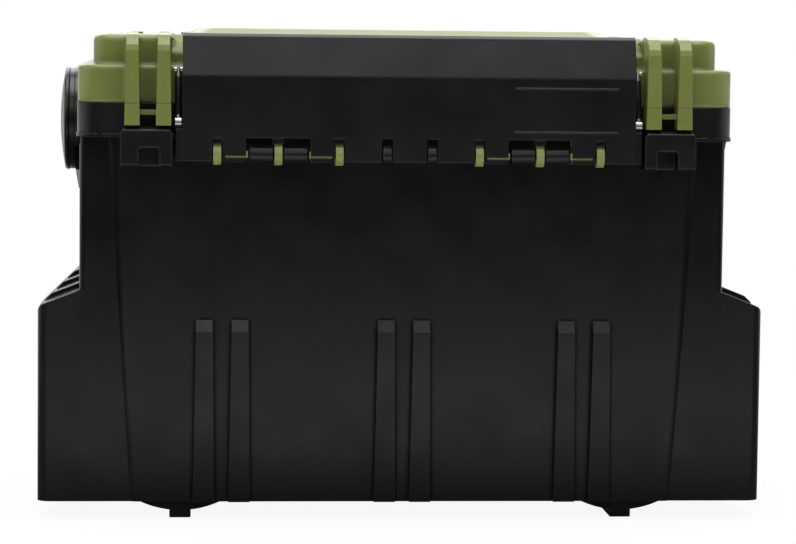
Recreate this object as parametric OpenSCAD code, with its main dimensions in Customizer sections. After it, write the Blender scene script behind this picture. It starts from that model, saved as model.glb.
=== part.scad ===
// Large two-way tackle box: tub with side steps, two-tier lid, a lever latch
// with hinge knuckles on each long side, and a carry handle folded to the rear.
// Millimetres, +Z up. The photographed long side faces -Y.

/* [Tub] */
// width of the tub; the lid is as wide as its rim
tub_w = 423; // [400:1:450]
// depth of the tub wall
tub_d = 256; // [230:1:280]
// how far the rim and lid overhang the tub wall, front and rear
rim_out = 22; // [20:0.5:24]
// vertical corner radius of the tub
tub_r = 5; // [4:0.5:10]
// moulded wall thickness
wall_t = 3.6; // [3:0.1:5]
// height of the underside above the ground
floor_z = 11; // [8:0.5:16]
// height of the rim's top face
rim_top = 271.8; // [255:0.1:290]
// height of the rim band
rim_h = 22; // [18:0.5:26]
// corner radius of the rim and lip
rim_r = 18; // [12:1:24]
// how far the inner lip stands above the rim
inner_lip_h = 8.2; // [6:0.1:10]

/* [Face panel and ribs] */
// from the tub's corner to the raised face panel, at its top
face_in = 16.5; // [14:0.5:22]
// how much narrower the face panel is at its foot, each side
face_lean = 12.5; // [9:0.5:16]
// how proud of the tub wall the face panel stands
face_proud = 4; // [3:0.5:6]
// how proud of the face panel the ribs stand
rib_proud = 3.5; // [2:0.5:5]
// height of the ribs' tops
rib_top = 131; // [110:1:150]
// distance from the middle pair of ribs to an outer pair
rib_pair_pitch = 118.6; // [110:0.1:130]
// half the distance between the two ribs of a pair
rib_half_gap = 11.6; // [10:0.1:14]

/* [Side steps] */
// width of a step at its front end
step_w = 27; // [20:0.5:32]
// height of a step's outer edge
step_z = 139; // [125:0.5:150]
// height where a step meets the wall
step_in_z = 149.5; // [130:0.5:165]
// radius of a step's outer top edge
step_r = 6; // [4.5:0.5:8]
// radius of a step's front corner
step_front_r = 8; // [6:0.5:12]
// width of a step at its rear end, where it runs out against the wall
step_rear_w = 5; // [4:0.5:7]
// number of anti-slip ridges across each step
ridge_n = 3; // [2:1:4]
// height of a ridge above the step
ridge_h = 3.4; // [2:0.1:4]
// depth of a ridge, front to back
ridge_d = 10; // [6:1:14]

/* [Feet] */
// distance of a foot's middle from the face panel's end
foot_inset = 37.1; // [32:0.1:42]
// length of a foot along the long side
foot_w = 54; // [44:1:64]
// depth of a foot, front to back
foot_d = 36; // [28:1:44]
// height of the tab under a foot
tab_h = 4.8; // [4:0.1:5.5]

/* [Lid] */
// wall thickness of the lid
lid_t = 3.5; // [3:0.1:4.5]
// height of the lip tier
lip_h = 24; // [20:0.5:28]
// inset of the upper tier from the lip, side
tier_in_x = 10; // [8:0.5:14]
// inset of the upper tier from the lip, front
tier_in_y = 8; // [6:0.5:10]
// height of the upper tier
tier_h = 19.3; // [16:0.1:24]
// height of the raised crown
crown_h = 4.5; // [2:0.5:6]
// width of the crown
crown_w = 288; // [240:1:320]
// depth of the crown
crown_d = 150; // [120:1:180]

/* [Latch levers] */
// distance of the hinge pin outside the lip face
pin_out = 9; // [8:0.1:11]
// hinge pin below the rim's top face
pin_drop = 31.8; // [29:0.1:35]
// hinge pin diameter
pin_d = 4.5; // [4:0.1:5]
// radial running clearance of every pin
run_clr = 0.05; // [0.02:0.01:0.08]
// from the lid's end to the cover panel's end
cover_in = 67.2; // [64:0.2:72]
// thickness of the cover panel
cover_t = 2.6; // [2.2:0.1:3.2]
// link pin above the hinge pin
link_rise = 20; // [17:0.5:23]
// crease in the cover panel above the rim's top face
crease_rise = 18.2; // [14:0.1:22]
// top of the cover panel above the rim's top face
cover_rise = 45.2; // [40:0.1:50]
// outer radius of the green hinge fingers
finger_r = 7; // [6.6:0.1:7.2]
// outer radius of the tub's hinge rollers
roller_r = 6; // [5:0.1:6.2]

/* [Handle] */
// handle's axis below the rim's top face
hub_drop = 14.8; // [10:0.1:18]
// outer radius of the hub disc
hub_r = 35; // [30:0.5:38]
// thickness of the hub disc
disc_t = 6.5; // [5.5:0.1:8]
// thickness of the handle's arms
arm_t = 3.4; // [3:0.1:5]
// reach of the handle from its axis to its grip
arm_r = 187; // [184:1:200]
// angle that the folded handle hangs below level
droop = 15; // [12:1:18]
// radius of the cross rod
rod_r = 8; // [7:0.5:9]
// outer radius of the grip sleeve
grip_r = 12.5; // [11:0.5:13]
// length of the grip sleeve
grip_w = 132; // [110:1:160]
// diameter of the hub bolt
bolt_d = 10; // [8:0.5:12]

/* [Hidden] */
$fn = 64;
eps = 0.01;
seat = 0.1;                                // gap between fixed neighbours
seam = 0.02;                               // gap between lengths of one moulding
air = 0.4;                                 // gap between lid and tub
black = [0.10, 0.11, 0.10];
dark = [0.16, 0.17, 0.16];
green = [0.55, 0.62, 0.33];
steel = [0.75, 0.76, 0.77];
lid_d = tub_d + 2 * rim_out;
lip_y = lid_d / 2;                         // lip face, outward
tub_y = tub_d / 2;
tub_x = tub_w / 2;
overall_w = tub_w + 2 * step_w;            // width across the side steps
lid_w = tub_w + 2;
face_top_w = tub_w - 2 * face_in;
face_foot_w = face_top_w - 2 * face_lean;
cover_w = lid_w - 2 * cover_in;
step_fall = (step_in_z - step_z) / step_w; // slope of a step's top
step_taper = (step_w - step_rear_w) / tub_d;
rim_z = rim_top - rim_h;                   // underside of the rim band
pin_y = lip_y + pin_out;
pin_z = rim_top - pin_drop;
crease_z = rim_top + crease_rise;
cover_top = rim_top + cover_rise;
hub_z = rim_top - hub_drop;
lid_z = rim_top + air;                     // underside of the lid
tier_z = lid_z + lip_h;
top_z = tier_z + tier_h;
lid_x = lid_w / 2;
in_w = lid_w - 2 * lid_t;                  // inside of the lid's lip
in_d = lid_d - 2 * lid_t;
mouth_w = lid_w - 12 - 2 * wall_t;         // opening inside the tub's inner lip
mouth_d = tub_d - 2.8 - 2 * wall_t;
mouth_r = 5;                               // its corner radius
rim_cut_x = mouth_w / 2 - mouth_r;         // where the rim's long and short sides meet
liner_z = rim_top + inner_lip_h + 4.4;     // underside of the lid liner
liner_t = 2.5;
foot_x = face_foot_w / 2 - foot_inset;
front_o = pin_y + 8;                       // outermost face of brackets and pillars
base_x = lid_x + air;                      // inner face of the hub base
arm_x = base_x + 5;
disc_x = arm_x + arm_t + 0.2;
out_x = disc_x + seat + disc_t;
dome_r = 170;                              // radius of the disc's domed face
sink_r = bolt_d / 2 + 5;                   // recess for the bolt's head
reach_y = arm_r * cos(droop) + grip_r;     // rearmost point
front_y = cover_face(pin_z + 44) + 0.5;    // foremost point
y_shift = (front_y - reach_y) / 2;         // puts the outline's middle on the origin
pair_x = lid_w / 2 - 45.3;                 // middle of a pillar pair
pillar_off = 10;
pocket_n = 8;                              // pockets under each long side of the rim
pocket_pitch = (tub_w - 47) / pocket_n;
finger_x = [45, 84.1, 123.1];
finger_w = 5;
roller_x = [73.1, 95.1];
roller_w = 15;
slim_x = 14.5;
slim_w = 5.6;
strip_x = [56.5, 111.4];                   // green strips under the cover
strip_w = 13.4;
label_w = cover_w * 0.23;                  // bare label field
label_x = cover_w / 2 - label_w - 11.5;
link_x = cover_w / 2 + 2.6;
link_z = pin_z + link_rise;
link_o = pin_y + 1.5;

// ---------- shared forms ----------

module place() translate([0, y_shift, 0]) children();

// the front half is drawn outward along +Y here and turned to face -Y
module front() mirror([0, 1, 0]) children();

module both() { children(); front() children(); }

module left() mirror([1, 0, 0]) children();

module rrect(w, d, r) {
    square([w - 2 * r, d], center = true);
    square([w, d - 2 * r], center = true);
    for (x = [-1, 1], y = [-1, 1])
        translate([x * (w / 2 - r), y * (d / 2 - r)]) circle(r = r);
}

module slab(w, d, r, z0, z1)
    translate([0, 0, z0]) linear_extrude(z1 - z0) rrect(w, d, r);

// a profile given as [outward, height], drawn from x0 to x1
module across(x0, x1, pts)
    translate([x0, 0, 0]) rotate([90, 0, 90]) linear_extrude(x1 - x0) polygon(pts);

// a shape drawn in [x, height], between two outward distances
module facing(o0, o1)
    translate([0, o1, 0]) rotate([90, 0, 0]) linear_extrude(o1 - o0) children();

module rod(x0, x1, o, z, r, n = 48)
    translate([x0, o, z]) rotate([0, 90, 0]) cylinder(r = r, h = x1 - x0, $fn = n);

// a tier with a rounded top edge of radius e
module tier(w, d, r, z0, z1, e)
    hull() {
        slab(w, d, r, z0, z1 - e, $fn = 32);
        for (a = [22.5, 45, 67.5, 90])
            slab(w - 2 * e * (1 - cos(a)), d - 2 * e * (1 - cos(a)), r - e * (1 - cos(a)),
                z1 - e * (1 - sin(a)) - eps, z1 - e * (1 - sin(a)), $fn = 32);
    }

// ---------- tub ----------

module face_ribs()
    intersection() {
        facing(tub_y - 6, tub_y + face_proud + rib_proud)
            for (p = [-1, 0, 1], s = [-1, 1])
                translate([p * rib_pair_pitch + s * rib_half_gap, 0])
                    polygon([[-7, floor_z], [7, floor_z], [5.5, rib_top], [-5.5, rib_top]]);
        across(-lid_x, lid_x, [[tub_y - 6, floor_z], [tub_y + face_proud + rib_proud - 3, floor_z],
            [tub_y + face_proud + rib_proud, rib_top - 8], [tub_y + face_proud, rib_top],
            [tub_y - 6, rib_top]]);
    }

// inverted U under each pillar pair; its top is round about the hinge pin
module bracket()
    color(black) difference() {
        intersection() {
            union() {
                across(pair_x - 15.5, pair_x + 17.5, [[tub_y + face_proud + seat, rim_z - seat],
                    [tub_y + face_proud + seat, pin_z + 1], [lip_y - 6, pin_z - 8.5],
                    [front_o - 1.5, pin_z - 8.5], [front_o, pin_z - 7], [front_o, pin_z + 10],
                    [lip_y + 1, pin_z + 10], [lip_y + 1, rim_z - seat]]);
                intersection() {
                    rod(pair_x - 15.5, pair_x + 17.5, pin_y, pin_z, 17, 96);
                    across(pair_x - 15.5, pair_x + 17.5, [[lip_y + 1, pin_z + 9],
                        [front_o, pin_z + 9], [front_o, pin_z + 17], [lip_y + 1, pin_z + 17]]);
                }
            }
            facing(tub_y - 1, front_o + 1) translate([pair_x + 1, 0])
                polygon([[-16.5, pin_z - 20], [16.5, pin_z - 20], [16.5, pin_z + 13],
                    [14, pin_z + 17], [-14, pin_z + 17], [-16.5, pin_z + 13]]);
        }
        facing(lip_y + 3, front_o + 1) translate([pair_x - 0.8, 0]) {
            translate([-6.8, pin_z - 12]) square([13.6, 14]);
            translate([-4.8, pin_z]) square([9.6, 4]);
            for (s = [-1, 1]) translate([s * 4.8, pin_z + 2]) circle(r = 2, $fn = 32);
        }
    }

module knuckle(x, w, r)
    difference() {
        union() {
            rod(x - w / 2, x + w / 2, pin_y, pin_z, r);
            across(x - w / 2, x + w / 2, [[lip_y - 2, pin_z + 9], [lip_y - 2, pin_z - 4],
                [pin_y, pin_z - r], [pin_y, pin_z], [lip_y + 1.5, pin_z + 12],
                [lip_y - 2, pin_z + 12]]);
        }
        rod(x - w, x + w, pin_y, pin_z, pin_d / 2 + run_clr);
    }

module rim_pockets()
    for (i = [-pocket_n / 2 : pocket_n / 2 - 1])
        translate([i * pocket_pitch + 2, tub_y - eps, rim_z - 1])
            cube([pocket_pitch - 4, lip_y - 3 - tub_y, rim_h - 3]);

// height of a step's top at x
function step_top(x) = step_in_z - step_fall * (x - tub_x);

// a step's outline from the front and from above, drawn in by the wall thickness
module step_block(in) {
    out = overall_w / 2 - in;
    lean = atan(step_fall);
    drop = in / cos(lean);
    r = step_r - in;
    arc_z = step_top(out) - drop - r * tan((90 - lean) / 2);
    far = in > 0 ? (out - tub_x - step_rear_w) / step_taper : tub_d;
    turn = step_front_r - in;
    intersection() {
        translate([0, tub_y + 1, 0]) rotate([90, 0, 0]) linear_extrude(tub_d + 2)
            polygon(concat([[tub_x + seam, floor_z - min(in, 1)], [out, floor_z - min(in, 1)]],
                [for (i = [0 : 4]) let (q = i * (90 - lean) / 4)
                    [out - r + r * cos(q), arc_z + r * sin(q)]],
                [[tub_x + seam, step_top(tub_x) - drop]]));
        translate([0, in - tub_y, 0]) linear_extrude(step_in_z)
            polygon(concat([[tub_x + seam, 0]],
                [for (q = [0 : 15 : 90])
                    [out - turn + turn * sin(q), turn - turn * cos(q)]],
                [[out - step_taper * far, far], [tub_x + seam, far]]));
    }
}

// bars across a step's top that run out before its edge
module step_ridges()
    for (i = [0 : ridge_n - 1]) {
        from = 20 + i * (tub_d - 70) / ridge_n;
        end = overall_w / 2 - step_taper * from - 2;
        translate([0, from + ridge_d - tub_y, 0]) rotate([90, 0, 0]) linear_extrude(ridge_d)
            polygon([[tub_x + seam, step_top(tub_x) - 1], [end, step_top(end) - 1.6],
                [end - 0.6, step_top(end) + ridge_h * 0.35],
                [end - 2.4, step_top(end) + ridge_h * 0.85],
                [end - 5, step_top(end - 5) + ridge_h],
                [tub_x + seam, step_top(tub_x) + ridge_h]]);
    }

// walls, floor, face panels and ribs, up to the rim band
module tub()
    color(black) place() difference() {
        union() {
            slab(tub_w, tub_d, tub_r, floor_z, rim_z - seat);
            // square corners, flush with the steps' fronts
            slab(tub_w, tub_d, 0.4, floor_z, step_in_z);
            // face panels on both long sides, narrower and thinner at the foot
            hull() {
                slab(face_top_w, tub_d + 2 * face_proud, 10, rim_z - seat - 1, rim_z - seat,
                    $fn = 32);
                slab(face_foot_w, tub_d + 2 * face_proud - 5, 10, floor_z, floor_z + 6, $fn = 32);
            }
            both() face_ribs();
            // the ends flare out to the rim
            translate([0, tub_y - 4, 0]) rotate([90, 0, 0]) linear_extrude(tub_d - 8)
                polygon([[-tub_x, rim_z - 6], [tub_x, rim_z - 6],
                    [lid_x - 0.2, rim_z - 0.8], [lid_x - 0.2, rim_z - seat],
                    [0.2 - lid_x, rim_z - seat], [0.2 - lid_x, rim_z - 0.8]]);
        }
        slab(tub_w - 2 * wall_t, tub_d - 2 * wall_t, tub_r - wall_t, floor_z + 4, rim_z + 1);
    }

// rim band, its inner lip and the hinge rollers, all round
module rim()
    difference() {
        union() {
            slab(tub_w, tub_d, tub_r, rim_z, rim_top - 1);
            // band with pockets open underneath
            difference() {
                slab(lid_w + 0.6, lid_d, rim_r, rim_z, rim_top);
                both() rim_pockets();
            }
            // bead along the band's lower edge, with room for the hubs
            difference() {
                slab(lid_w + 1.6, lid_d + 1.6, rim_r, rim_z, rim_z + 2.4);
                slab(lid_w - 8, lid_d - 4, rim_r - 3, rim_z - 1, rim_z + 3);
                for (s = [0, 1]) mirror([s, 0, 0])
                    rod(lid_x + 0.3, lid_x + 4, 0, hub_z, hub_r + 2);
            }
            slab(mouth_w + 2 * wall_t, mouth_d + 2 * wall_t, mouth_r + wall_t, rim_top - 4,
                rim_top + inner_lip_h);
            both() for (s = [0, 1]) mirror([s, 0, 0]) {
                for (x = roller_x) knuckle(x, roller_w, roller_r);
                knuckle(slim_x, slim_w, finger_r - 0.5);
            }
        }
        slab(tub_w - 2 * wall_t, tub_d - 2 * wall_t, tub_r - wall_t, rim_z - 1, rim_top - 4);
        slab(mouth_w, mouth_d, mouth_r, rim_top - 5, rim_top + inner_lip_h + 1);
        rod(-lid_w, lid_w, 0, hub_z, bolt_d / 2 + run_clr);
    }

// a long side of the rim, without its ends
module rim_long()
    color(black) intersection() {
        rim();
        translate([seam - rim_cut_x, 0, 0]) cube([2 * (rim_cut_x - seam), lid_d, 2 * rim_top]);
    }

// an end of the rim, with its two corners
module rim_end()
    color(black) intersection() {
        rim();
        translate([rim_cut_x, -lid_d, 0]) cube([lid_w, 2 * lid_d, 2 * rim_top]);
    }

module rim_front() place() front() rim_long();
module rim_rear() place() rim_long();
module rim_left() place() left() rim_end();
module rim_right() place() rim_end();

// hollow side step, open underneath and against the tub's wall, narrower to the rear
module step()
    color(black) difference() {
        union() { step_block(0); step_ridges(); }
        step_block(wall_t);
    }

module step_left() place() left() step();
module step_right() place() step();
module bracket_front_left() place() front() left() bracket();
module bracket_front_right() place() front() bracket();
module bracket_rear_left() place() left() bracket();
module bracket_rear_right() place() bracket();

// a foot: a shallow dome with a tab, drawn in [x, height]
module foot(x)
    color(dark) {
        chord = foot_w / 2;
        sag = floor_z - tab_h;
        big = (chord * chord + sag * sag) / (2 * sag);
        facing(tub_y - 2 - foot_d, tub_y - 2) translate([x, 0]) {
            intersection() {
                translate([0, tab_h + big]) circle(r = big, $fn = 180);
                translate([-chord, 0]) square([2 * chord, floor_z - seat]);
            }
            translate([-7, 1]) square([14, 6]);
            translate([-6, 0]) square([12, 2]);
            for (s = [-1, 1]) translate([s * 6, 1]) circle(r = 1, $fn = 24);
        }
    }

module foot_front_left() place() front() foot(-foot_x);
module foot_front_right() place() front() foot(foot_x);
module foot_rear_left() place() foot(-foot_x);
module foot_rear_right() place() foot(foot_x);

// ---------- lid ----------

// side profile of a pillar, as [outward, height]
function pillar_side() = [[lip_y + 0.8, pin_z + 18], [front_o, pin_z + 18],
    [front_o, top_z - 10], [front_o - 1.2, top_z - 6.5], [front_o - 4.5, top_z - 2.6],
    [front_o - 9.5, top_z], [front_o - 16, top_z + 1.4], [lip_y - tier_in_y - 2.5, top_z + 1.4],
    [lip_y - tier_in_y - 2.5, tier_z - 2.5], [lip_y - 2.5, tier_z - 2.5],
    [lip_y - 2.5, lid_z + 0.8], [lip_y + 0.8, lid_z + 0.8]];

module pillars() {
    intersection() {
        facing(lip_y - 20, front_o) for (s = [-1, 1], k = [-1, 1])
            translate([s * pair_x + k * pillar_off, 0])
                polygon([[-4.9, pin_z + 18], [4.9, pin_z + 18], [3.8, top_z + 2], [-3.8, top_z + 2]]);
        across(-lid_x, lid_x, pillar_side());
    }
    for (s = [-1, 1]) across(s * pair_x - 7, s * pair_x + 7, [[lip_y + 6, pin_z + 24.6],
        [lip_y + 11, pin_z + 24.6], [lip_y + 11, pin_z + 27.8], [lip_y + 6, pin_z + 27.8]]);
}

// the sloped relief behind a cover panel's top, drop is how far inside it lies
module finger_slope(drop)
    across(-cover_w / 2 - 7 + drop / 2, cover_w / 2 + 7 - drop / 2,
        [[lip_y, top_z - 13 - drop], [lip_y, top_z + 9], [lip_y - tier_in_y - 22 - drop, top_z + 9],
         [lip_y - tier_in_y - 12 - drop, top_z - drop],
         [lip_y - tier_in_y - 6 - drop, top_z - 4 - drop],
         [lip_y - tier_in_y - drop, top_z - 12 - drop]]);

module lid_shell()
    color(green) place() {
        tw = lid_w - 2 * tier_in_x;
        td = lid_d - 2 * tier_in_y;
        difference() {
            union() {
                difference() {
                    union() {
                        tier(lid_w, lid_d, rim_r, lid_z, tier_z, 3);
                        tier(tw, td, 13, tier_z - 4, top_z, 4.5);
                        hull() {
                            slab(crown_w, crown_d, 12, top_z - 1, top_z, $fn = 32);
                            slab(crown_w - 22, crown_d - 22, 9, top_z + crown_h - 0.5,
                                top_z + crown_h, $fn = 32);
                        }
                    }
                    both() finger_slope(0);
                    for (x = [-1, 1], y = [-1, 1])
                        translate([x * (tw / 2 - 12), y * (td / 2 - 14), top_z + 18.4])
                            sphere(r = 20);
                }
                both() pillars();
            }
            difference() {
                union() {
                    slab(in_w, in_d, rim_r - lid_t, lid_z - 1, tier_z - lid_t);
                    slab(tw - 2 * lid_t, td - 2 * lid_t, 13 - lid_t, tier_z - lid_t - 1.5,
                        top_z - lid_t);
                    slab(crown_w - 30, crown_d - 30, 5, top_z - lid_t - 0.5,
                        top_z + crown_h - lid_t);
                }
                both() finger_slope(lid_t);
            }
        }
    }

module lid_liner()
    color(dark) place() {
        slab(in_w - 2 * seat, in_d - 2 * seat, rim_r - lid_t - seat, liner_z, liner_z + liner_t);
        // ribs that stiffen the liner
        for (y = [-1, 0, 1]) translate([0, y * in_d / 4, liner_z + liner_t + 2.5])
            cube([in_w * 0.8, liner_t, 6], center = true);
    }

module lid_seal()
    color([0.06, 0.06, 0.06]) place() difference() {
        slab(in_w - 2.2, tub_d, rim_r - 0.5, rim_top + inner_lip_h + air, liner_z - seat);
        slab(mouth_w - 3, mouth_d - 3, rim_r - 6, rim_top, liner_z + 1);
    }

// ---------- latch lever: cover, leaves, link, pins ----------

// outward position of the cover's lower face at height z
function cover_face(z) = front_o - 2 + 2.2 * (z - pin_z + 4.2) / (crease_z - pin_z + 2.2);

foot_cov = pin_z - 5;
roll_r = 4.5;
roll_o = lip_y + 5.6;
roll_z = cover_top - roll_r;

module cover(labelled)
    color(black) difference() {
        union() {
            across(-cover_w / 2, cover_w / 2, [[front_o - 2 - cover_t, foot_cov],
                [front_o - 2.6, foot_cov], [front_o - 2, foot_cov + 0.8], [front_o + 0.2, crease_z - 2],
                [front_o, crease_z + 1], [roll_o + roll_r * cos(20), roll_z + roll_r * sin(20)],
                [roll_o + roll_r * cos(20) - cover_t, roll_z - 2],
                [front_o - cover_t - 0.4, crease_z - 1]]);
            rod(-cover_w / 2, cover_w / 2, roll_o, roll_z, roll_r);
            // wider foot of the panel beyond the links
            across(-cover_w / 2 - 4, cover_w / 2 + 4, [[front_o - 2 - cover_t, foot_cov],
                [front_o - 2.6, foot_cov], [front_o - 2, foot_cov + 0.8],
                [front_o - 1.6, link_z - 4], [front_o - 1.6 - cover_t, link_z - 4]]);
            // end cheeks that carry the link pins
            for (s = [0, 1]) mirror([s, 0, 0])
                across(cover_w / 2 - 4, cover_w / 2, [[link_o - 3, link_z - 4],
                    [front_o - 2, link_z - 5], [front_o - 0.6, crease_z - 2],
                    [front_o - 4, crease_z - 2], [link_o - 3, link_z + 4]]);
            // label field: two slim ridges with nothing between them
            if (labelled) for (z = [pin_z + 15, pin_z + 43])
                facing(front_o - 4, cover_face(z + 1) + 0.5)
                    translate([label_x, z]) square([label_w, 1]);
        }
        for (s = [-1, 1]) {
            for (x = [finger_x[0], finger_x[2]])
                facing(lip_y, front_o + 3) translate([s * x - 3.4, foot_cov - 1])
                    square([6.8, pin_z + 10.5 - foot_cov + 1]);
            facing(lip_y, front_o + 3) translate([s * finger_x[1] - 20.7, foot_cov - 1])
                square([41.4, pin_z + 10.5 - foot_cov + 1]);
            facing(lip_y, front_o + 3) translate([s * slim_x - slim_w / 2 - 0.8, foot_cov - 1])
                square([slim_w + 1.6, pin_z + 10.5 - foot_cov + 1]);
            // short panel ends that let the green strips show
            for (x = strip_x) facing(lip_y, front_o + 3)
                translate([s * x - strip_w / 2 - 0.4, foot_cov - 1])
                    square([strip_w + 0.8, 5.2]);
            rod(s * (cover_w / 2 - 2) - 6, s * (cover_w / 2 - 2) + 6, link_o, link_z, 1.5 + run_clr, 32);
        }
    }

// the right-hand leaf; the left one is its mirror image
module leaf()
    color(green) difference() {
        union() {
            // plate behind the cover
            across(finger_x[0] - 4, finger_x[2] + 4, [[pin_y - 0.5, pin_z + 11.2],
                [front_o - 1.8 - cover_t - 0.2, pin_z + 11.2], [front_o - 1.4 - cover_t - 0.2, pin_z + 22],
                [pin_y - 0.5, pin_z + 22]]);
            for (x = finger_x) {
                rod(x - finger_w / 2, x + finger_w / 2, pin_y, pin_z, finger_r);
                across(x - finger_w / 2, x + finger_w / 2, [[pin_y - 4, pin_z], [pin_y + 3.2, pin_z],
                    [pin_y + 1.6, pin_z + 12.6], [pin_y - 4, pin_z + 12.6]]);
            }
            // hooks round the back of the pin, with a strip that shows under the cover
            for (x = strip_x) across(x - strip_w / 2, x + strip_w / 2,
                [[pin_y - 5.6, foot_cov], [front_o - 2.2, foot_cov], [front_o - 2, foot_cov + 4],
                 [front_o - 4.4, foot_cov + 4], [front_o - 4.6, foot_cov + 2.2],
                 [pin_y - 3, foot_cov + 2.2], [pin_y - 3, pin_z + 11.2], [pin_y + 2, pin_z + 11.2],
                 [pin_y + 2, pin_z + 14], [pin_y - 5.6, pin_z + 12.6]]);
        }
        rod(0, lid_w / 2, pin_y, pin_z, pin_d / 2 + run_clr);
    }

module link()
    color(steel) {
        top_o = lip_y + 2.8;
        top_zz = tier_z - 2.8;
        rise = sqrt(pow(link_o - top_o, 2) + pow(top_zz - link_z, 2));
        lean = atan((link_o - top_o) / (top_zz - link_z));
        rod(-link_x - 2.6, link_x + 2.6, top_o, top_zz, 1.7, 32);
        for (s = [-1, 1]) difference() {
            union() {
                translate([s * link_x, link_o, link_z]) rotate([lean, 0, 0])
                    cylinder(r = 1.9, h = rise + 1.2, $fn = 32);
                rod(s * link_x - 2, s * link_x + 2, link_o, link_z, 3.2, 32);
            }
            rod(s * link_x - 5, s * link_x + 5, link_o, link_z, 1.5 + run_clr, 32);
        }
    }

module link_pins()
    color(steel) for (s = [0, 1]) mirror([s, 0, 0]) {
        rod(cover_w / 2 - 6, link_x + 2.2, link_o, link_z, 1.5, 32);
        rod(link_x + 2.1, link_x + 3, link_o, link_z, 2.6, 32);
        rod(cover_w / 2 - 5.4, cover_w / 2 - 4.1, link_o, link_z, 2.4, 32);
    }

module hinge_pin()
    color(steel) rod(-finger_x[2] - 4.5, finger_x[2] + 4.5, pin_y, pin_z, pin_d / 2);

module hinge_pin_front() place() front() hinge_pin();
module hinge_pin_rear() place() hinge_pin();
module cover_front() place() front() cover(true);
module cover_rear() place() cover(false);
module leaf_front_left() place() front() left() leaf();
module leaf_front_right() place() front() leaf();
module leaf_rear_left() place() left() leaf();
module leaf_rear_right() place() leaf();
module link_front() place() front() link();
module link_rear() place() link();
module link_pins_front() place() front() link_pins();
module link_pins_rear() place() link_pins();

// ---------- handle ----------

// fixed plate against the rim, relieved in its lower front quarter
module hub_base()
    color(dark) difference() {
        rod(base_x, arm_x - 0.2, 0, hub_z, hub_r + 0.4, 96);
        rod(base_x - 1, arm_x, 0, hub_z, bolt_d / 2 + run_clr);
        translate([base_x - 1, -hub_r - 1, hub_z - hub_r - 1])
            cube([arm_x - base_x + 2, hub_r - 2, hub_r / 2]);
    }

// height of the disc's domed face at radius r
function dome(r) = disc_t - dome_r + sqrt(dome_r * dome_r - r * r);

// outer disc: a low dome with a rounded edge, turning with the handle
module hub_disc()
    color(black) translate([disc_x + seat, 0, hub_z]) rotate([0, 90, 0]) rotate_extrude($fn = 96)
        polygon(concat([[bolt_d / 2 + run_clr, 0], [hub_r - 0.6, 0], [hub_r, 0.6],
                [hub_r, dome(hub_r) - 1]],
            [for (i = [0 : 8]) let (r = hub_r - 0.9 - i * (hub_r - 0.9 - sink_r) / 8) [r, dome(r)]],
            [[sink_r, disc_t / 2], [bolt_d / 2 + run_clr, disc_t / 2]]));

module hub_bolt()
    color(steel) {
        rod(tub_w / 2 - wall_t - 7, disc_x + disc_t / 2 + 0.5, 0, hub_z, bolt_d / 2);
        rod(disc_x + disc_t / 2 + 0.3, out_x - 0.6, 0, hub_z, sink_r - 0.6);
    }

module hub_nut()
    color(steel) difference() {
        translate([tub_w / 2 - wall_t - 6 - seat, 0, hub_z]) rotate([0, 90, 0])
            cylinder(r = bolt_d * 0.95, h = 6, $fn = 6);
        rod(tub_w / 2 - 20, tub_w / 2, 0, hub_z, bolt_d / 2 + run_clr);
    }

module hub_base_left() place() left() hub_base();
module hub_base_right() place() hub_base();
module hub_disc_left() place() left() hub_disc();
module hub_disc_right() place() hub_disc();
module hub_bolt_left() place() left() hub_bolt();
module hub_bolt_right() place() hub_bolt();
module hub_nut_left() place() left() hub_nut();
module hub_nut_right() place() hub_nut();

// two arms and the cross rod, folded to the rear
module handle_bail()
    color(black) place() translate([0, 0, hub_z]) rotate([-droop, 0, 0]) {
        for (s = [0, 1]) mirror([s, 0, 0]) difference() {
            translate([arm_x, 0, 0]) rotate([90, 0, 90]) linear_extrude(arm_t) {
                circle(r = hub_r - 0.4, $fn = 96);
                hull() {
                    translate([14, 0]) circle(r = 15, $fn = 32);
                    translate([arm_r, 0]) circle(r = rod_r + 1.5, $fn = 32);
                }
            }
            rod(arm_x - 1, arm_x + 6, 0, 0, bolt_d / 2 + run_clr);
            // lightening recess along the arm's outer face
            translate([arm_x + arm_t - 0.9, hub_r + 9, -4]) cube([3, arm_r - 2 * hub_r, 8]);
        }
        rod(-arm_x - 2, arm_x + 2, arm_r, 0, rod_r);
    }

module handle_grip()
    color(dark) place() translate([0, 0, hub_z]) rotate([-droop, 0, 0])
        difference() {
            union() {
                rod(-grip_w / 2 + 2, grip_w / 2 - 2, arm_r, 0, grip_r);
                for (s = [0, 1]) mirror([s, 0, 0]) translate([grip_w / 2 - 2, arm_r, 0])
                    rotate([0, 90, 0]) cylinder(r1 = grip_r, r2 = grip_r - 2, h = 2, $fn = 48);
            }
            rod(-grip_w, grip_w, arm_r, 0, rod_r + seat);
            for (i = [-5 : 5]) translate([i * 10, arm_r, 0]) rotate([0, 90, 0])
                rotate_extrude($fn = 48) translate([grip_r + 0.8, 0]) circle(r = 1.6, $fn = 24);
        }

tub();
rim_front();
rim_rear();
rim_left();
rim_right();
step_left();
step_right();
bracket_front_left();
bracket_front_right();
bracket_rear_left();
bracket_rear_right();
foot_front_left();
foot_front_right();
foot_rear_left();
foot_rear_right();
hinge_pin_front();
hinge_pin_rear();
hub_base_left();
hub_base_right();
hub_bolt_left();
hub_bolt_right();
hub_nut_left();
hub_nut_right();
lid_shell();
lid_liner();
lid_seal();
cover_rear();
leaf_rear_left();
leaf_rear_right();
link_pins_rear();
link_rear();
cover_front();
leaf_front_left();
leaf_front_right();
link_pins_front();
link_front();
handle_bail();
hub_disc_left();
hub_disc_right();
handle_grip();
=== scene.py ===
import math

import bmesh
import bpy
from mathutils import Matrix, Vector


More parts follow.
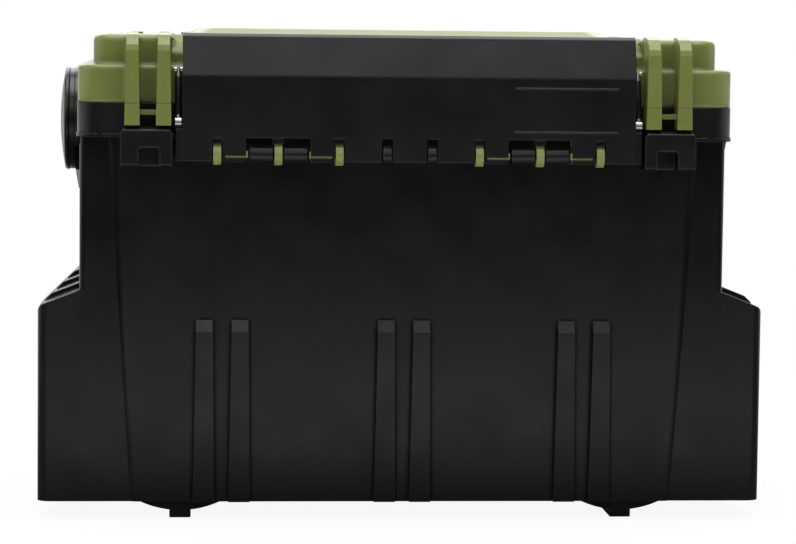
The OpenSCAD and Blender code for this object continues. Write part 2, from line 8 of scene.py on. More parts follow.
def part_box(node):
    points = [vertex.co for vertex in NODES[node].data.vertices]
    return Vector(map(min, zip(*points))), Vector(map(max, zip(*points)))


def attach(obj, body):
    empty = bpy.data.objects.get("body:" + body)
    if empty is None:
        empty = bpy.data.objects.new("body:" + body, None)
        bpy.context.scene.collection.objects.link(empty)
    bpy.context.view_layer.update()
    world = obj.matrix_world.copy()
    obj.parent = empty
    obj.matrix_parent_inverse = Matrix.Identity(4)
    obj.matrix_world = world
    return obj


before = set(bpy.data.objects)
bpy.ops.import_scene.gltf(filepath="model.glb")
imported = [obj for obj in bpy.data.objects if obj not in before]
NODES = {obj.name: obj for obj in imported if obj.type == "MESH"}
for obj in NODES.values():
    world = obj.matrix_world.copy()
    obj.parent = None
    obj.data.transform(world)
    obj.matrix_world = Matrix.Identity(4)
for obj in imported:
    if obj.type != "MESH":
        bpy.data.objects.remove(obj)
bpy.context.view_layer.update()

# ---- Camera -------------------------------------------------------------------------------
# A long lens on a stand about 1.9 m in front of the box, a little to its left and level
# with the lid's crown, as the photograph was taken. Its place, in metres, comes from
# matching the box's edges to the photograph.
CAMERA_YAW = math.radians(4.49)
CAMERA_PITCH = math.radians(4.71)
CAMERA_ROLL = math.radians(0.65)
CAMERA_PLACE = (-0.15313, -2.04056, 0.31930)
FOCAL_PIXELS = 2922.1
FRAME_PIXELS = 796
SENSOR_MM = 36.0

camera_data = bpy.data.cameras.new("camera")
camera_data.sensor_fit = "HORIZONTAL"
camera_data.sensor_width = SENSOR_MM
camera_data.lens = FOCAL_PIXELS * SENSOR_MM / FRAME_PIXELS
camera_data.clip_end = 50
camera = bpy.data.objects.new("camera", camera_data)
bpy.context.scene.collection.objects.link(camera)
look = Vector((math.sin(CAMERA_YAW) * math.cos(CAMERA_PITCH),
               math.cos(CAMERA_YAW) * math.cos(CAMERA_PITCH),
               -math.sin(CAMERA_PITCH)))
turn = look.to_track_quat("-Z", "Y").to_matrix().to_4x4()
camera.matrix_world = (Matrix.Translation(CAMERA_PLACE) @ turn
                       @ Matrix.Rotation(CAMERA_ROLL, 4, "Z"))
bpy.context.scene.camera = camera


# ---- White sweep --------------------------------------------------------------------------
# A seamless white paper sweep under and behind the box. It is white to the camera, and it
# still takes the box's shadow. In reflections its brightness is painted: white behind the
# box, a painted shadow of the box close in front of it, a painted lit stretch beyond, then the dim
# room.
def linear(hex_colour):
    """The linear RGBA of an sRGB hex colour such as "7C8248"."""
    parts = [int(hex_colour[i:i + 2], 16) / 255 for i in (0, 2, 4)]
    return tuple(p / 12.92 if p <= 0.04045 else ((p + 0.055) / 1.055) ** 2.4
                 for p in parts) + (1.0,)


def new_material(name):
    """A node material with nothing in it but its output."""
    mat = bpy.data.materials.new(name)
    mat.use_nodes = True
    tree = mat.node_tree
    tree.nodes.clear()
    return mat, tree, tree.nodes.new("ShaderNodeOutputMaterial")


def add(tree, kind, settings=None, **inputs):
    """Adds a node, sets its properties, and sets or links its inputs by name.
    Two underscores and a number pick an input by its place, as in Value__1."""
    node = tree.nodes.new("ShaderNode" + kind)
    for key, value in (settings or {}).items():
        setattr(node, key, value)
    for key, value in inputs.items():
        if "__" in key:
            socket = node.inputs[int(key.split("__")[1])]
        else:
            socket = node.inputs[key.replace("_", " ")]
        if isinstance(value, bpy.types.NodeSocket):
            tree.links.new(value, socket)
        else:
            socket.default_value = value
    return node


def seen_rays(tree):
    """Two outputs: 1 for a camera ray, and 1 for a camera ray or one mirrored or
    refracted on its way to the camera."""
    ray = add(tree, "LightPath")
    mirrored = add(tree, "Math", {"operation": "MAXIMUM"}, Value__0=ray.outputs["Is Glossy Ray"],
                   Value__1=ray.outputs["Is Transmission Ray"])
    both = add(tree, "Math", {"operation": "MAXIMUM"}, Value__0=mirrored.outputs[0],
               Value__1=ray.outputs["Is Camera Ray"])
    return ray.outputs["Is Camera Ray"], both.outputs[0]


PAPER_WHITE = "F2F2F0"
PAPER_HALF_WIDTH = 9.0
PAPER_DROP = 0.0006           # the paper lies this far under the feet
ROOM_DIM = 0.02               # brightness of the room in front of the box and beside it
PAPER_PAINTED_LIGHT = (-1.3, -0.62)   # in reflections, here the paper in front of the box comes out of the dark into painted light
PAPER_PAINTED_SHADOW = (-0.46, -0.28)  # and here it runs into the painted shadow of the box
PAINTED_SHADOW_LEVEL = 0.02                 # brightness of the paper in that painted shadow
PAPER_BEHIND = (0.1, 0.7)     # from here on the paper behind the box is lit
PAPER_SIDE = (0.45, 0.9)      # and at both sides it ends here, where black cloth hangs
SHADOW_ROUND = (0.45, 1.1)    # the paper shows the box's real shadow this far round it
SHADOW_SHARE = 0.08           # how much of the white near the box is real, shadowed paper

half, low = PAPER_HALF_WIDTH, -PAPER_DROP
mesh = bpy.data.meshes.new("paper_sweep")
mesh.from_pydata([(-half, -half, low), (half, -half, low), (half, half, low), (-half, half, low)],
                 [], [(0, 1, 2, 3)])
sweep = bpy.data.objects.new("paper_sweep", mesh)
bpy.context.scene.collection.objects.link(sweep)
paper, tree, out = new_material("white_paper")
camera_ray, seen = seen_rays(tree)
place = add(tree, "TexCoord").outputs["Object"]
flat = add(tree, "SeparateXYZ", Vector=place)
depth = flat.outputs["Y"]
# painted light and a painted shadow on the paper, which only reflections see
painted_front_light = add(tree, "MapRange", {"interpolation_type": "SMOOTHSTEP"}, Value=depth,
                  From_Min=PAPER_PAINTED_LIGHT[0], From_Max=PAPER_PAINTED_LIGHT[1], To_Min=ROOM_DIM, To_Max=1.0)
painted_shadow = add(tree, "MapRange", {"interpolation_type": "SMOOTHSTEP"}, Value=depth,
                  From_Min=PAPER_PAINTED_SHADOW[0], From_Max=PAPER_PAINTED_SHADOW[1], To_Min=1.0, To_Max=PAINTED_SHADOW_LEVEL)
behind = add(tree, "MapRange", {"interpolation_type": "SMOOTHSTEP"}, Value=depth,
             From_Min=PAPER_BEHIND[0], From_Max=PAPER_BEHIND[1])
aside = add(tree, "Math", {"operation": "ABSOLUTE"}, Value__0=flat.outputs["X"])
middle = add(tree, "MapRange", {"interpolation_type": "SMOOTHSTEP"}, Value=aside.outputs[0],
             From_Min=PAPER_SIDE[0], From_Max=PAPER_SIDE[1], To_Min=1.0, To_Max=ROOM_DIM)
narrow = add(tree, "Math", {"operation": "MAXIMUM"}, Value__0=middle.outputs[0],
             Value__1=behind.outputs[0])
paper_past_painted_shadow = add(tree, "Math", {"operation": "MAXIMUM"}, Value__0=painted_shadow.outputs[0],
                 Value__1=behind.outputs[0])
painted_paper_light = add(tree, "Math", {"operation": "MULTIPLY"}, Value__0=painted_front_light.outputs[0],
                Value__1=paper_past_painted_shadow.outputs[0])
mirrored = add(tree, "Math", {"operation": "MULTIPLY"}, Value__0=painted_paper_light.outputs[0],
               Value__1=narrow.outputs[0])
white = add(tree, "Math", {"operation": "MAXIMUM"}, Value__0=camera_ray,
            Value__1=mirrored.outputs[0])
away = add(tree, "VectorMath", {"operation": "LENGTH"}, Vector=place)
plain = add(tree, "MapRange", {"interpolation_type": "SMOOTHSTEP"}, Value=away.outputs["Value"],
            From_Min=SHADOW_ROUND[0], From_Max=SHADOW_ROUND[1], To_Min=1 - SHADOW_SHARE,
            To_Max=1.0)
share = add(tree, "Math", {"operation": "MULTIPLY"}, Value__0=seen, Value__1=plain.outputs[0])
paper_lit = add(tree, "BsdfDiffuse", Color=linear(PAPER_WHITE), Roughness=0.3)
paper_seen = add(tree, "Emission", Color=(1, 1, 1, 1), Strength=white.outputs[0])
mix = add(tree, "MixShader", Fac=share.outputs[0])
tree.links.new(paper_lit.outputs[0], mix.inputs[1])
tree.links.new(paper_seen.outputs[0], mix.inputs[2])
tree.links.new(mix.outputs[0], out.inputs["Surface"])
sweep.data.materials.append(paper)

# ---- Studio light -------------------------------------------------------------------------
# A dim room with softboxes overhead, behind, high in front and at both sides. Reflections
# find white paper behind the box, and the dim room in front of it and beside it.
ROOM_LIGHT = 0.30
BACKDROP_TURN = (0.45, 0.92)  # share of a ray that points to the rear, where the white begins

world = bpy.data.worlds.new("studio")
bpy.context.scene.world = world
world.use_nodes = True
tree = world.node_tree
tree.nodes.clear()
camera_ray, seen = seen_rays(tree)
toward = add(tree, "SeparateXYZ", Vector=add(tree, "TexCoord").outputs["Generated"])
backdrop = add(tree, "MapRange", {"interpolation_type": "SMOOTHSTEP"}, Value=toward.outputs["Y"],
               From_Min=BACKDROP_TURN[0], From_Max=BACKDROP_TURN[1], To_Min=ROOM_DIM, To_Max=1.0)
white = add(tree, "Math", {"operation": "MAXIMUM"}, Value__0=camera_ray,
            Value__1=backdrop.outputs[0])
lit = add(tree, "Background", Color=(1, 1, 1, 1), Strength=ROOM_LIGHT)
shown = add(tree, "Background", Color=(1, 1, 1, 1), Strength=white.outputs[0])
mix = add(tree, "MixShader", Fac=seen)
tree.links.new(lit.outputs[0], mix.inputs[1])
tree.links.new(shown.outputs[0], mix.inputs[2])
tree.links.new(mix.outputs[0], add(tree, "OutputWorld").inputs["Surface"])


def softbox(name, place, target, size, brightness):
    """A rectangular softbox. Its brightness is in units of the white paper's."""
    data = bpy.data.lights.new(name, "AREA")
    data.shape = "RECTANGLE"
    data.size, data.size_y = size
    data.energy = brightness * math.pi * size[0] * size[1]
    lamp = bpy.data.objects.new(name, data)
    lamp.location = place
    lamp.rotation_euler = (Vector(target) - Vector(place)).to_track_quat("-Z", "Y").to_euler()
    bpy.context.scene.collection.objects.link(lamp)


softbox("overhead_softbox", place=(0.0, -0.15, 1.6), target=(0, 0, 0.25), size=(1.8, 1.1),
        brightness=4.8)
softbox("rear_softbox", place=(0.0, 1.35, 1.25), target=(0, 0, 0.3), size=(2.4, 0.9),
        brightness=3.0)
softbox("high_front_softbox", place=(-0.35, -1.9, 1.5), target=(0, 0, 0.2), size=(2.4, 0.6),
        brightness=1.7)
softbox("left_softbox", place=(-2.0, 0.0, 0.9), target=(-0.2, 0, 0.15), size=(1.6, 1.5),
        brightness=1.1)
softbox("right_softbox", place=(2.0, 0.0, 0.9), target=(0.2, 0, 0.15), size=(1.6, 1.5),
        brightness=1.0)


# ---- Tub, rim and brackets ----------------------------------------------------------------
# Black polypropylene: walls with a raised face panel and ribs, the rim band, and the
# brackets under the lid's pillars. The tool's cavity is spark-eroded, so every face has a
# fine satin grain, and its edges are slightly round.
MM = 0.001
GRAIN = 0.5 * MM           # real grain is 0.25 mm across, too fine to show here
CLOUD = 35 * MM            # gloss and colour drift over a few centimetres as the melt cools
CLOUD_SPAN = (0.3, 0.7)    # the noise mostly stays between these
GLOSS_DRIFT = (-0.04, 0.05)
MOTTLE = 0.08              # share by which the colour drifts
PALE_PATCH = 6 * MM             # width of the patches of paler edge, rubbed wear and painted highlight
PALE_EDGE_TURN = (0.995, 0.86)  # cosines of the turn at an edge, where the paler edge starts and is full
SEAM_REACH = 1.8 * MM
# a parting line is a painted dark line, the shade of its groove, this half-width each way
PARTING_HALF_W = 0.3 * MM
PARTING_SHADE = (0.55, 0.55, 0.5, 1)
CORNER_OPEN = (0.55, 0.9)  # share of open air over a point, in a corner and out of it
CORNER_SHINE = (0.05, 0.5)  # and the strength of its reflections there, dimmed in corners as painted shade
PLASTIC_IOR = 1.49
MIDDLE_Y = (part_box("tub")[0][1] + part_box("tub")[1][1]) / 2


def moulded(name, colour, roughness, edge=0.5 * MM, grain_depth=0.02 * MM, wear_and_highlight=0.0,
            wear_and_highlight_colour="6A6A68", join=None, broad=None, line=None, corner=None):
    """Grained thermoplastic with softly rounded edges, paler along them: rubbed wear and painted
    highlight.
    join is the distance |x| at which two lengths of one skin meet without an edge.
    broad is (radius, outward, height) of rounder edges that lie nearer the box's middle
    than outward and lower than height. line is (height, outward) of a fine parting line,
    drawn as a painted dark line that stands for its groove's shade, farther from the middle
    than outward. corner is the reach of the painted shade that dims reflections in a
    moulding's inside corners."""
    mat, tree, out = new_material(name)
    where = add(tree, "TexCoord").outputs["Object"]
    cloud = add(tree, "TexNoise", Vector=where, Scale=1 / CLOUD, Detail=3.0)
    rough = add(tree, "MapRange", Value=cloud.outputs["Fac"], From_Min=CLOUD_SPAN[0],
                From_Max=CLOUD_SPAN[1], To_Min=roughness + GLOSS_DRIFT[0],
                To_Max=roughness + GLOSS_DRIFT[1])
    tint = add(tree, "MapRange", Value=cloud.outputs["Fac"], From_Min=CLOUD_SPAN[0],
               From_Max=CLOUD_SPAN[1], To_Min=1 - MOTTLE / 2, To_Max=1 + MOTTLE / 2)
    body = add(tree, "VectorMath", {"operation": "SCALE"}, Vector=linear(colour)[:3],
               Scale=tint.outputs[0])
    facing = add(tree, "NewGeometry").outputs["True Normal"]
    rounded = add(tree, "Bevel", {"samples": 6}, Radius=edge).outputs[0]
    apart = add(tree, "SeparateXYZ", Vector=where)
    from_middle = add(tree, "Math", {"operation": "SUBTRACT"}, Value__0=apart.outputs["Y"],
                      Value__1=MIDDLE_Y)
    outward = add(tree, "Math", {"operation": "ABSOLUTE"}, Value__0=from_middle.outputs[0])
    if broad:
        rounder = add(tree, "Bevel", {"samples": 8}, Radius=broad[0])
        inside = add(tree, "Math", {"operation": "LESS_THAN"}, Value__0=outward.outputs[0],
                     Value__1=broad[1])
        below = add(tree, "Math", {"operation": "LESS_THAN"}, Value__0=apart.outputs["Z"],
                    Value__1=broad[2])
        both = add(tree, "Math", {"operation": "MULTIPLY"}, Value__0=inside.outputs[0],
                   Value__1=below.outputs[0])
        rounded = add(tree, "Mix", {"data_type": "VECTOR"}, Factor__0=both.outputs[0],
                      A__4=rounded, B__5=rounder.outputs[0]).outputs[1]
    if join:
        side = add(tree, "Math", {"operation": "ABSOLUTE"}, Value__0=apart.outputs["X"])
        near = add(tree, "Math", {"operation": "COMPARE"}, Value__0=side.outputs[0],
                   Value__1=join, Value__2=SEAM_REACH)
        rounded = add(tree, "Mix", {"data_type": "VECTOR"}, Factor__0=near.outputs[0],
                      A__4=rounded, B__5=facing).outputs[1]
    # edges are a little paler, in patches: wear where hands and boards rubbed them, and painted
    # highlight
    bend = add(tree, "VectorMath", {"operation": "DOT_PRODUCT"}, Vector__0=rounded,
               Vector__1=facing)
    pale_patches = add(tree, "TexNoise", Vector=where, Scale=1 / PALE_PATCH, Detail=4.0)
    wear_and_highlight_share = add(tree, "MapRange", Value=bend.outputs["Value"], From_Min=PALE_EDGE_TURN[0],
               From_Max=PALE_EDGE_TURN[1], To_Min=0.0, To_Max=wear_and_highlight)
    patchy_wear_and_highlight = add(tree, "Math", {"operation": "MULTIPLY"}, Value__0=wear_and_highlight_share.outputs[0],
                 Value__1=pale_patches.outputs["Fac"])
    skin = add(tree, "Mix", {"data_type": "RGBA"}, Factor__0=patchy_wear_and_highlight.outputs[0],
               A__6=body.outputs[0], B__7=linear(wear_and_highlight_colour)).outputs[2]
    grain = add(tree, "TexNoise", Vector=where, Scale=1 / GRAIN, Detail=2.0, Roughness=0.6)
    bump = add(tree, "Bump", Height=grain.outputs["Fac"], Distance=grain_depth, Normal=rounded)
    # painted shade: a fine dark line where a parting line's groove would be shaded
    if line:
        height, start = line
        level = add(tree, "Math", {"operation": "COMPARE"}, Value__0=apart.outputs["Z"],
                    Value__1=height, Value__2=PARTING_HALF_W)
        beyond = add(tree, "Math", {"operation": "GREATER_THAN"}, Value__0=outward.outputs[0],
                     Value__1=start)
        painted_groove_shade = add(tree, "Math", {"operation": "MULTIPLY"}, Value__0=level.outputs[0],
                     Value__1=beyond.outputs[0])
        skin = add(tree, "Mix", {"data_type": "RGBA", "blend_type": "MULTIPLY"},
                   Factor__0=painted_groove_shade.outputs[0], A__6=skin, B__7=PARTING_SHADE).outputs[2]
    surface = add(tree, "BsdfPrincipled", Base_Color=skin, Roughness=rough.outputs[0],
                  IOR=PLASTIC_IOR, Normal=bump.outputs[0])
    # painted shade: reflections are dimmed in inside corners, by how much open air is over a point
    if corner:
        hollow = add(tree, "AmbientOcclusion", {"samples": 8, "only_local": True},
                     Distance=corner)
        corner_shaded_shine = add(tree, "MapRange", Value=hollow.outputs["AO"], From_Min=CORNER_OPEN[0],
                    From_Max=CORNER_OPEN[1], To_Min=CORNER_SHINE[0], To_Max=CORNER_SHINE[1])
        tree.links.new(corner_shaded_shine.outputs[0], surface.inputs["Specular IOR Level"])
    tree.links.new(surface.outputs[0], out.inputs["Surface"])
    return mat


SHARP_EDGE = math.radians(15)
WELD = 0.002 * MM          # vertices of neighbouring faces lie this close in the CAD meshes


def gentle_edges():
    """A node group for CAD meshes: only edges that turn by more than SHARP_EDGE stay sharp."""
    group = bpy.data.node_groups.new("gentle_edges", "GeometryNodeTree")
    group.is_modifier = True
    for way in ("INPUT", "OUTPUT"):
        group.interface.new_socket("Geometry", in_out=way, socket_type="NodeSocketGeometry")
    nodes, links = group.nodes, group.links
    start, end = nodes.new("NodeGroupInput"), nodes.new("NodeGroupOutput")
    merge = nodes.new("GeometryNodeMergeByDistance")
    merge.inputs["Distance"].default_value = WELD
    angle = nodes.new("GeometryNodeInputMeshEdgeAngle")
    sharp = nodes.new("FunctionNodeCompare")
    sharp.operation = "GREATER_THAN"
    sharp.inputs[1].default_value = SHARP_EDGE
    normal = nodes.new("GeometryNodeSetMeshNormal")
    normal.mode = "SHARPNESS"
    normal.inputs["Remove Custom"].default_value = True
    normal.inputs["Face Sharpness"].default_value = False
    links.new(start.outputs[0], merge.inputs["Geometry"])
    links.new(merge.outputs[0], normal.inputs["Mesh"])
    links.new(angle.outputs["Unsigned Angle"], sharp.inputs[0])
    links.new(sharp.outputs[0], normal.inputs["Edge Sharpness"])
    links.new(normal.outputs[0], end.inputs[0])
    return group


GENTLE = gentle_edges()


def dress(material, *names):
    """Gives CAD nodes their material and smooths the shading of their curved faces."""
    for name in names:
        obj = NODES[name]
        obj.data.materials.clear()
        obj.data.materials.append(material)
        obj.modifiers.new("gentle_edges", "NODES").node_group = GENTLE
        flats = obj.modifiers.new("flats_stay_flat", "WEIGHTED_NORMAL")
        flats.keep_sharp = True


ENDS = ("left", "right")
SIDES = ("front", "rear")
RIM_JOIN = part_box("rim_front")[1][0]
STEP_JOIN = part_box("step_right")[0][0]
tub_black = moulded("grained_black_polypropylene", "090909", 0.29, edge=0.7 * MM, wear_and_highlight=0.2,
                    join=STEP_JOIN, corner=4 * MM)
dress(tub_black, "tub")
rim_black = moulded("banded_black_polypropylene", "121212", 0.36, edge=0.8 * MM, wear_and_highlight=0.2,
                    join=RIM_JOIN, corner=3 * MM)
dress(rim_black, *(f"rim_{s}" for s in SIDES + ENDS))
bracket_black = moulded("rounded_black_polypropylene", "0D0D0D", 0.36, edge=1.6 * MM, wear_and_highlight=0.35)
dress(bracket_black, *(f"bracket_{f}_{n}" for f in SIDES for n in ENDS))

# ---- Side steps ---------------------------------------------------------------------------
# Hollow black polypropylene steps, welded to the ends of the tub. A flush bead fills each
# upright seam. Their outer edges and ridges are paler, partly wear where shoes and boat
# benches rubbed them and partly painted highlight, and their upper edges have a larger
# radius than the tub's.
step_black = moulded("scuffed_and_highlit_black_polypropylene", "0A0A0A", 0.31, edge=1.6 * MM, wear_and_highlight=0.45,
                     join=STEP_JOIN)
dress(step_black, "step_left", "step_right")


def rounded_bar(mesh, side, xs, outs, zs, edge=0.25):
    """Adds a bar with rounded edges, from millimetres along, outward and up. side is -1
    on the box's front and 1 on its rear."""
    made = bmesh.ops.create_cube(mesh, size=1.0)["verts"]
    for v in made:
        along = xs[0] if v.co.x < 0 else xs[1]
        out = outs[0] if v.co.y < 0 else outs[1]
        up = zs[0] if v.co.z < 0 else zs[1]
        v.co = Vector((along * MM, MIDDLE_Y + side * out * MM, up * MM))
    edges = list({e for v in made for e in v.link_edges})
    bmesh.ops.bevel(mesh, geom=edges, offset=edge * MM, segments=2, affect="EDGES",
                    profile=0.5)


SMOOTH_ANGLE = math.radians(40)


def finish_piece(mesh, name, body, material):
    """Turns a bmesh into a smooth-shaded piece that rides on a body."""
    bmesh.ops.recalc_face_normals(mesh, faces=mesh.faces)
    data = bpy.data.meshes.new(name)
    mesh.to_mesh(data)
    mesh.free()
    for poly in data.polygons:
        poly.use_smooth = True
    data.set_sharp_from_angle(angle=SMOOTH_ANGLE)
    data.materials.append(material)
    piece = bpy.data.objects.new(name, data)
    bpy.context.scene.collection.objects.link(piece)
    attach(piece, body)


# the bead, in millimetres: across the seam, outward from the middle and up
BEAD_X = (STEP_JOIN / MM - 0.82, STEP_JOIN / MM + 0.38)
WALL_OUT = (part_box("step_right")[1][1] - MIDDLE_Y) / MM
BEAD_OUT = (WALL_OUT - 0.6, WALL_OUT + 0.04)    # it stands just proud of the wall
BEAD_Z = (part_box("step_right")[0][2] / MM + 0.2, 149.2)
beads = bmesh.new()
for side in (-1, 1):
    for s in (-1, 1):
        rounded_bar(beads, side, (s * BEAD_X[0], s * BEAD_X[1]), BEAD_OUT, BEAD_Z, edge=0.02)
finish_piece(beads, "step_weld_beads", "tub", tub_black)

# ---- Feet ---------------------------------------------------------------------------------
# Four feet of the same black plastic, each a shallow dome with a tab that carries the
# box. They come straight from the tool with a duller face.
foot_black = moulded("dull_black_polypropylene", "0A0A0A", 0.52, edge=0.6 * MM, wear_and_highlight=0.2)
dress(foot_black, *(f"foot_{f}_{n}" for f in SIDES for n in ENDS))

# ---- Hinge pins, hub bolts and nuts -------------------------------------------------------
# Drawn steel: bright stainless bolts and nuts, and blackened hinge pins. The pins run
# through the rollers of the tub and the leaves' fingers, and each bolt goes through a hub
# and the tub's wall into a nut. Drawing leaves fine lines along the rod.
LINE_PITCH = 0.3 * MM      # real lines are about 0.1 mm apart, too fine to show here
LINE_LENGTH = 17 * MM
LINE_DEPTH = 0.01 * MM
POLISH_DRIFT = (-0.06, 0.10)


def drawn_steel(name, colour, roughness):
    """Steel with the fine lines of drawing along x."""
    mat, tree, out = new_material(name)
    where = add(tree, "TexCoord").outputs["Object"]
    stretched = add(tree, "Mapping", Vector=where,
                    Scale=(1 / LINE_LENGTH, 1 / LINE_PITCH, 1 / LINE_PITCH))
    lines = add(tree, "TexNoise", Vector=stretched.outputs[0], Scale=1.0, Detail=2.0)
    rough = add(tree, "MapRange", Value=lines.outputs["Fac"], To_Min=roughness + POLISH_DRIFT[0],
                To_Max=roughness + POLISH_DRIFT[1])
    bump = add(tree, "Bump", Height=lines.outputs["Fac"], Distance=LINE_DEPTH)
    body = add(tree, "BsdfPrincipled", Base_Color=linear(colour), Metallic=1.0,
               Roughness=rough.outputs[0], Normal=bump.outputs[0])
    tree.links.new(body.outputs[0], out.inputs["Surface"])
    return mat


stainless = drawn_steel("drawn_stainless_steel", "C6C7C8", 0.26)
dress(stainless, *(f"hub_{part}_{n}" for part in ("bolt", "nut") for n in ENDS))
blackened = drawn_steel("blackened_spring_steel", "17181A", 0.36)
dress(blackened, "hinge_pin_front", "hinge_pin_rear")


def skin_rings(mesh, rings):
    """Joins rings with as many points each into one skin, and closes its two ends."""
    for lower, upper in zip(rings, rings[1:]):
        for i in range(len(lower)):
            j = (i + 1) % len(lower)
            mesh.faces.new((lower[i], lower[j], upper[j], upper[i]))
    mesh.faces.new(rings[0][::-1])
    mesh.faces.new(rings[-1])


# each bolt's head has a rounded rim and a six-sided socket, here in millimetres
HEAD_R = 9.2                           # just inside the head's edge
SOCKET_ACROSS = 6.0                    # across flats
SOCKET_R = SOCKET_ACROSS / 2 / math.cos(math.pi / 6)
HEAD_RINGS = (                         # radius, height over the head's face, six-sided
    (HEAD_R, 0.02, False), (HEAD_R - 0.6, 0.3, False), (SOCKET_R + 1.4, 0.3, False),
    (SOCKET_R + 0.6, 0.24, False), (SOCKET_R, 0.24, True), (SOCKET_R - 0.05, 0.06, True))
HEAD_POINTS = 48
for n, s in (("left", -1), ("right", 1)):
    low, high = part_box(f"hub_bolt_{n}")
    middle = Vector((high[0] if s > 0 else low[0], (low[1] + high[1]) / 2,
                     (low[2] + high[2]) / 2))
    face = bmesh.new()
    rings = []
    for radius, lift, six_sided in HEAD_RINGS:
        ring = []
        for i in range(HEAD_POINTS):
            angle = math.tau * i / HEAD_POINTS
            r = radius
            if six_sided:
                r *= math.cos(math.pi / 6) / math.cos(angle % (math.pi / 3) - math.pi / 6)
            ring.append(face.verts.new(middle + Vector((s * lift, r * math.cos(angle),
                                                        r * math.sin(angle))) * MM))
        rings.append(ring)
    skin_rings(face, rings)
    finish_piece(face, f"hub_bolt_face_{n}", "tub", stainless)

# ---- Hub bases ----------------------------------------------------------------------------
# A round nylon plate against each end of the rim, which the handle's arm turns on. It
# is relieved in its lower front quarter. Nylon moulds with a tighter, glossier skin.
LID_EDGE_Z = 272 * MM      # height of the lid's lower edge, where the parting lines are painted as dark lines
# a fine dark line is painted round each plate at the height of the lid's lower edge
hub_nylon = moulded("moulded_black_nylon", "0E0E0E", 0.32, edge=0.8 * MM, wear_and_highlight=0.3,
                    line=(LID_EDGE_Z, 0.0))
dress(hub_nylon, "hub_base_left", "hub_base_right")

# ---- Lid ----------------------------------------------------------------------------------
# Two tiers, a raised crown and the pillars that reach down to the brackets, moulded in
# one piece in pistachio-green polypropylene with the same fine grain as the tub. The
# pillars' moulding slides leave a fine parting line level with the lid's lower edge, drawn
# as a painted dark line that stands for the shade of its groove.
PILLAR_REACH = 17 * MM     # from the lip's face to the pillars' outermost face
CROWN_H = 4.5 * MM
EDGE_ROUND = 5 * MM        # the two tiers' edges, rounder than the pillars'
LIP_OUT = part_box("lid_shell")[1][1] - MIDDLE_Y - PILLAR_REACH
TIER_TOP_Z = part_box("lid_shell")[1][2] - CROWN_H
# the lid's paler edges are partly rubbed wear and partly painted highlight, in pale yellow-green
lid_green = moulded("grained_pistachio_polypropylene", "71783B", 0.33, edge=1.1 * MM, wear_and_highlight=0.25,
                    wear_and_highlight_colour="B4B88C", line=(LID_EDGE_Z, LIP_OUT + 1.5 * MM),
                    broad=(EDGE_ROUND, LIP_OUT + 0.5 * MM, TIER_TOP_Z + 0.1 * MM))
dress(lid_green, "lid_shell")

# end walls of the sloped reliefs behind the covers: their outline in millimetres inward
# from the lip's face and down from the upper tier's top, and the distances |x| they span
SLOPE = ((7.8, 12.3), (14.0, 4.2), (21.0, -0.5), (23.5, 1.5), (15.6, 5.9), (9.6, 13.9))
SLOPE_END_X = (150.4, 152.25)
end_walls = bmesh.new()
for side in (-1, 1):
    for s in (-1, 1):
        skin_rings(end_walls, [[end_walls.verts.new((s * x * MM,
                                                     MIDDLE_Y + side * (LIP_OUT - inward * MM),
                                                     TIER_TOP_Z - down * MM))
                                for inward, down in SLOPE] for x in SLOPE_END_X])
finish_piece(end_walls, "slope_end_walls", "lid", lid_green)

# ---- Lid liner and seal -------------------------------------------------------------------
# A plain black polypropylene plate welded into the lid, and a soft black rubber seal under
# it that meets the tub's inner lip.
liner_black = moulded("liner_black_polypropylene", "101010", 0.5)
dress(liner_black, "lid_liner")
seal_rubber = moulded("black_sponge_rubber", "0A0A0A", 0.8, grain_depth=0.05 * MM)
dress(seal_rubber, "lid_seal")

# ---- Latch covers -------------------------------------------------------------------------
# The wide latch levers: one black satin panel each, folded at a crease, with a rounded
# top that fingers pull. The front one has two slim ridges round a bare field.
cover_black = moulded("satin_black_polypropylene", "0D0D0D", 0.34, edge=1.0 * MM, wear_and_highlight=0.2)
dress(cover_black, "cover_front", "cover_rear")

# ---- Hinge leaves -------------------------------------------------------------------------
# Pistachio-green acetal leaves behind the covers, with fingers round the hinge pins and
# slim strips that show under the covers. Acetal is harder and glossier than the lid.
# the leaves' paler edges are partly rubbed wear and partly painted highlight, in pale green
leaf_green = moulded("glossy_pistachio_acetal", "7F864C", 0.30, edge=0.8 * MM,
                     grain_depth=0.01 * MM, wear_and_highlight=0.3, wear_and_highlight_colour="C4C8A0")
dress(leaf_green, *(f"leaf_{f}_{n}" for f in SIDES for n in ENDS))


def middle_of(name):
    """How far outward and how high a node's middle lies, in millimetres."""
    low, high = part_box(name)
    return abs((low[1] + high[1]) / 2 - MIDDLE_Y) / MM, (low[2] + high[2]) / 2 / MM


PIN_OUT, PIN_Z = middle_of("hinge_pin_front")


def bar_by_pin(mesh, side, x, width, out, up):
    """Adds a bar of a width about x, between distances outward and up from the hinge pin."""
    rounded_bar(mesh, side, (x - width / 2, x + width / 2), (PIN_OUT + out[0], PIN_OUT + out[1]),
                (PIN_Z + up[0], PIN_Z + up[1]))


# all in millimetres: places from the box's middle, then each bar outward and up from the pin
FINGER_X = (45.0, 84.1, 123.1)
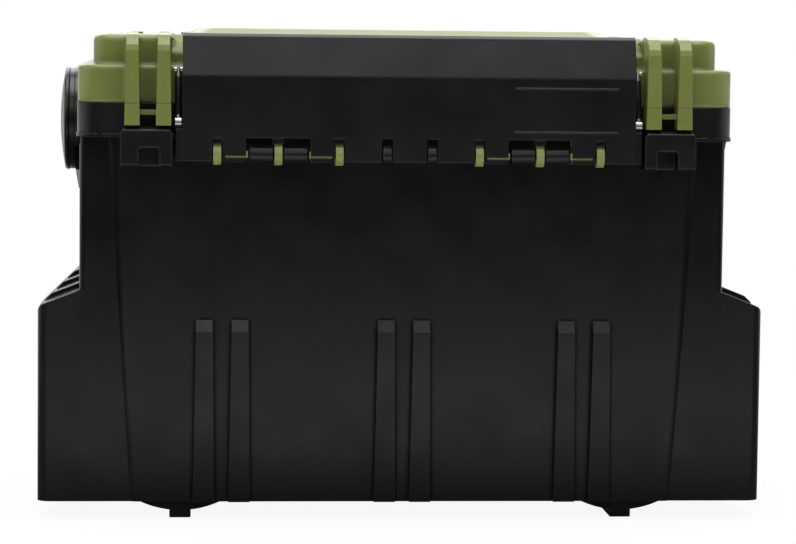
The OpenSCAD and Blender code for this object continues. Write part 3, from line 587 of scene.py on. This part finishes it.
# the black sheets above the fingers are painted shade
SHADE_SHEET_W, SHADE_SHEET_OUT, SHADE_SHEET_UP = 7.8, (2.6, 3.3), (6.8, 11.0)
STRIP_X, STRIP_W = (56.5, 111.4), 13.4
SILL_OUT, SILL_UP = (6.15, 6.9), (-5.0, -2.1)
TAB_X = (STRIP_X[0] + STRIP_W / 2 + 0.5, STRIP_X[1] - STRIP_W / 2 - 0.5)
TAB_W, TAB_OUT, TAB_UP = 1.4, (3.2, 5.6), (-2.4, 2.2)
for face, side, body in (("front", -1, "front_lever"), ("rear", 1, "lid")):
    shade_sheets_and_sills, tabs = bmesh.new(), bmesh.new()
    for s in (-1, 1):
        # painted shade: a black sheet as the floor of the notch above each finger, where there is
        # only shade
        for x in FINGER_X:
            bar_by_pin(shade_sheets_and_sills, side, s * x, SHADE_SHEET_W, SHADE_SHEET_OUT, SHADE_SHEET_UP)
        # the cover's sill under each strip
        for x in STRIP_X:
            bar_by_pin(shade_sheets_and_sills, side, s * x, STRIP_W, SILL_OUT, SILL_UP)
        # each strip turns up beside the roller next to it
        for x in TAB_X:
            bar_by_pin(tabs, side, s * x, TAB_W, TAB_OUT, TAB_UP)
    finish_piece(shade_sheets_and_sills, f"notch_shade_sheets_and_sills_{face}", body, cover_black)
    finish_piece(tabs, f"strip_tabs_{face}", body, leaf_green)

# ---- Links and link pins ------------------------------------------------------------------
# Each cover has a stainless wire link hooked over the lid's lip. A black vinyl sleeve on
# each arm keeps it quiet, and it swings on two pins of blackened steel.
dress(stainless, "link_front", "link_rear")
dress(blackened, "link_pins_front", "link_pins_rear")
sleeve_vinyl = moulded("black_vinyl_sleeve", "0C0C0C", 0.45)

ARM_X = 147.9                          # an arm's distance from the box's middle, millimetres
ARM_FOOT = middle_of("link_pins_front")
ARM_TOP = (152.8, 293.2)               # outward and up, where the arm bends over the lip
SLEEVE_ENDS = (4.6, 29.5)              # along the arm from the pin
SLEEVE_R = 2.15
SLEEVE_MOUTH_R = 1.95                  # its two ends are drawn in a little
SLEEVE_PROFILE = ((0.0, SLEEVE_MOUTH_R), (0.01, SLEEVE_R), (0.99, SLEEVE_R),
                  (1.0, SLEEVE_MOUTH_R))
SLEEVE_POINTS = 24


def sleeve(mesh, start, end):
    """Adds a sleeve round the line between two points."""
    axis = end - start
    turn = axis.to_track_quat("Z", "Y")
    rings = []
    for share, radius in SLEEVE_PROFILE:
        ring = []
        for i in range(SLEEVE_POINTS):
            angle = math.tau * i / SLEEVE_POINTS
            round_axis = Vector((radius * math.cos(angle), radius * math.sin(angle), 0)) * MM
            ring.append(mesh.verts.new(start + axis * share + turn @ round_axis))
        rings.append(ring)
    skin_rings(mesh, rings)


for face, side, body in (("front", -1, "front_link"), ("rear", 1, "rear_link")):
    sleeves = bmesh.new()
    foot, top = (Vector((0, MIDDLE_Y + side * out * MM, up * MM)) for out, up in (ARM_FOOT, ARM_TOP))
    along = (top - foot).normalized() * MM
    for s in (-1, 1):
        arm = foot + Vector((s * ARM_X * MM, 0, 0))
        sleeve(sleeves, arm + along * SLEEVE_ENDS[0], arm + along * SLEEVE_ENDS[1])
    finish_piece(sleeves, f"link_sleeves_{face}", body, sleeve_vinyl)

# ---- Handle -------------------------------------------------------------------------------
# A bail of two flat arms and a cross rod, with a low domed disc over each hub, all in
# black nylon. A sleeve of ribbed black rubber on the cross rod is the grip.
handle_nylon = moulded("moulded_black_nylon_handle", "0E0E0E", 0.34, edge=0.8 * MM, wear_and_highlight=0.3)
dress(handle_nylon, "handle_bail", "hub_disc_left", "hub_disc_right")
grip_rubber = moulded("ribbed_black_rubber", "0D0D0D", 0.6, grain_depth=0.03 * MM)
dress(grip_rubber, "handle_grip")

bpy.context.scene.view_settings.view_transform = "Standard"
